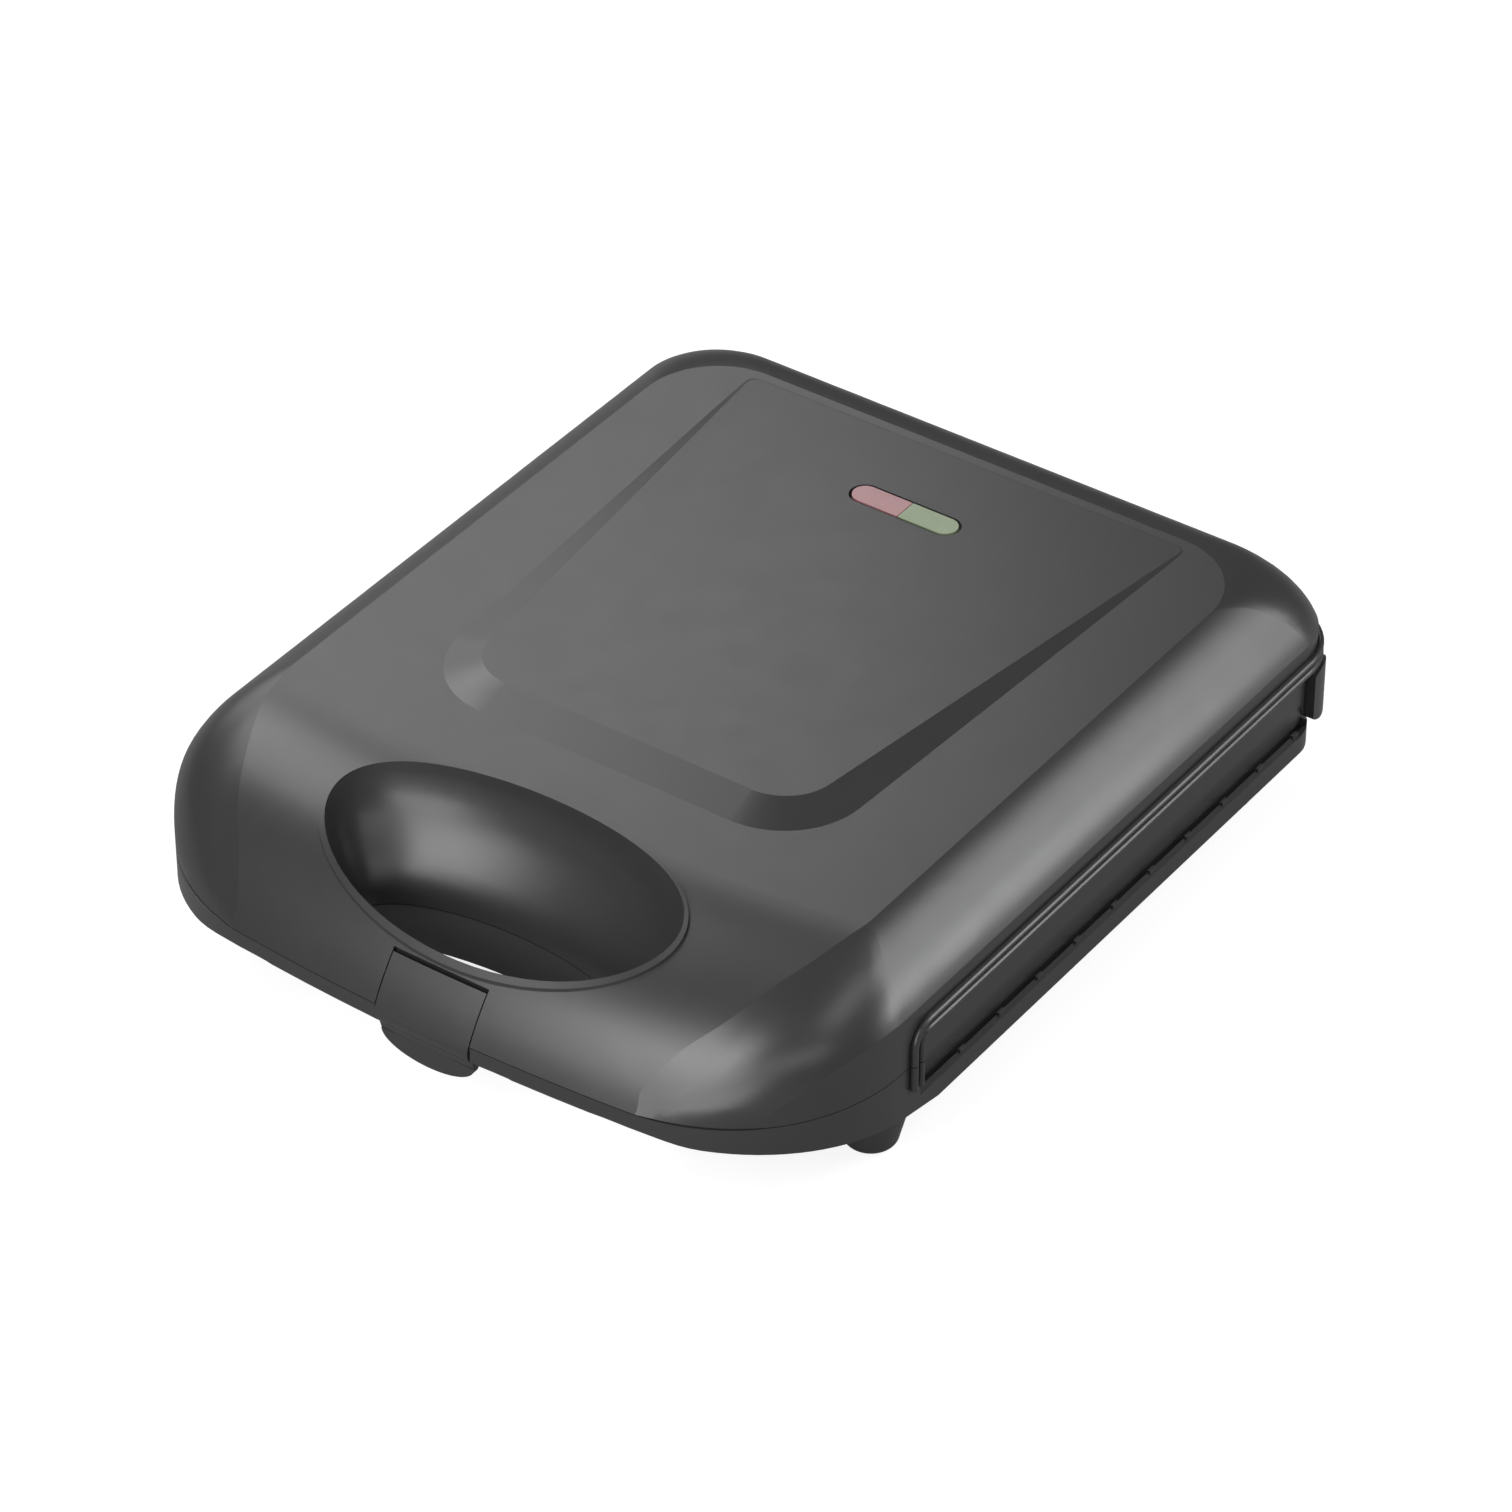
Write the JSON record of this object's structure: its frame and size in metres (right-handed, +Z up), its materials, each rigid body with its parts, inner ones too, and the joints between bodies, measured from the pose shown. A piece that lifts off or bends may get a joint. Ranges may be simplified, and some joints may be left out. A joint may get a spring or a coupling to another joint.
{
  "type": "donut maker",
  "caption": "Electric clamshell donut maker with a front handle opening, a latch, a window for indicator lamps and ring moulds in its two plates.",
  "frame": {"origin": "on the table, under the middle of the closed body's bounding box", "axes": "+X to the right seen from the handle side, +Y to the hinge at the rear, +Z up"},
  "size_m": [0.254, 0.306, 0.0787],
  "materials": {
    "housing": "satin moulded dark grey plastic",
    "latch": "satin moulded dark grey plastic",
    "feet": "satin moulded dark grey plastic",
    "gland": "soft black bush",
    "inner_plastic": "natural off-white heat-resistant plastic",
    "red_lens": "translucent muted red",
    "green_lens": "translucent pale green",
    "lamp": "clear glass",
    "coated_plate": "cast aluminium with a black non-stick coat",
    "element": "sheathed tube, heat-darkened steel",
    "pan": "bright sheet",
    "steel": "plain steel",
    "thermostat": "pressed metal can",
    "sleeve": "white glass-fibre sleeve"
  },
  "bodies": {
    "base": {"base_housing": "housing", "bottom_cover": "housing", "feet": "feet", "hinge_pins": "steel", "lower_plate": "coated_plate", "lower_element": "element", "lower_reflector": "pan", "lower_plate_screws": "steel", "cover_screws": "steel", "thermostat": "thermostat", "thermal_fuse": "sleeve", "terminal_block": "inner_plastic", "cord_gland": "gland", "base_wires": "sleeve"},
    "lid": {"lid_cover": "housing", "lid_frame": "housing", "red_lens": "red_lens", "green_lens": "green_lens", "lamp_holder": "inner_plastic", "red_lamp": "lamp", "green_lamp": "lamp", "upper_plate": "coated_plate", "upper_element": "element", "upper_reflector": "pan", "upper_plate_screws": "steel", "frame_screws": "steel", "lamp_screws": "steel", "lid_wires": "sleeve", "latch_pin": "steel"},
    "latch": {"latch": "latch"}
  },
  "joints": [
    {"name": "lid_hinge", "type": "hinge", "parent": "base", "child": "lid", "pos_m": [0, 0.1409, 0.032], "axis": [-1, 0, 0], "range_deg": [0, 100]},
    {"name": "latch_pivot", "type": "hinge", "parent": "lid", "child": "latch", "pos_m": [0, -0.1442, 0.043], "axis": [-1, 0, 0], "range_deg": [0, 14]}
  ]
}
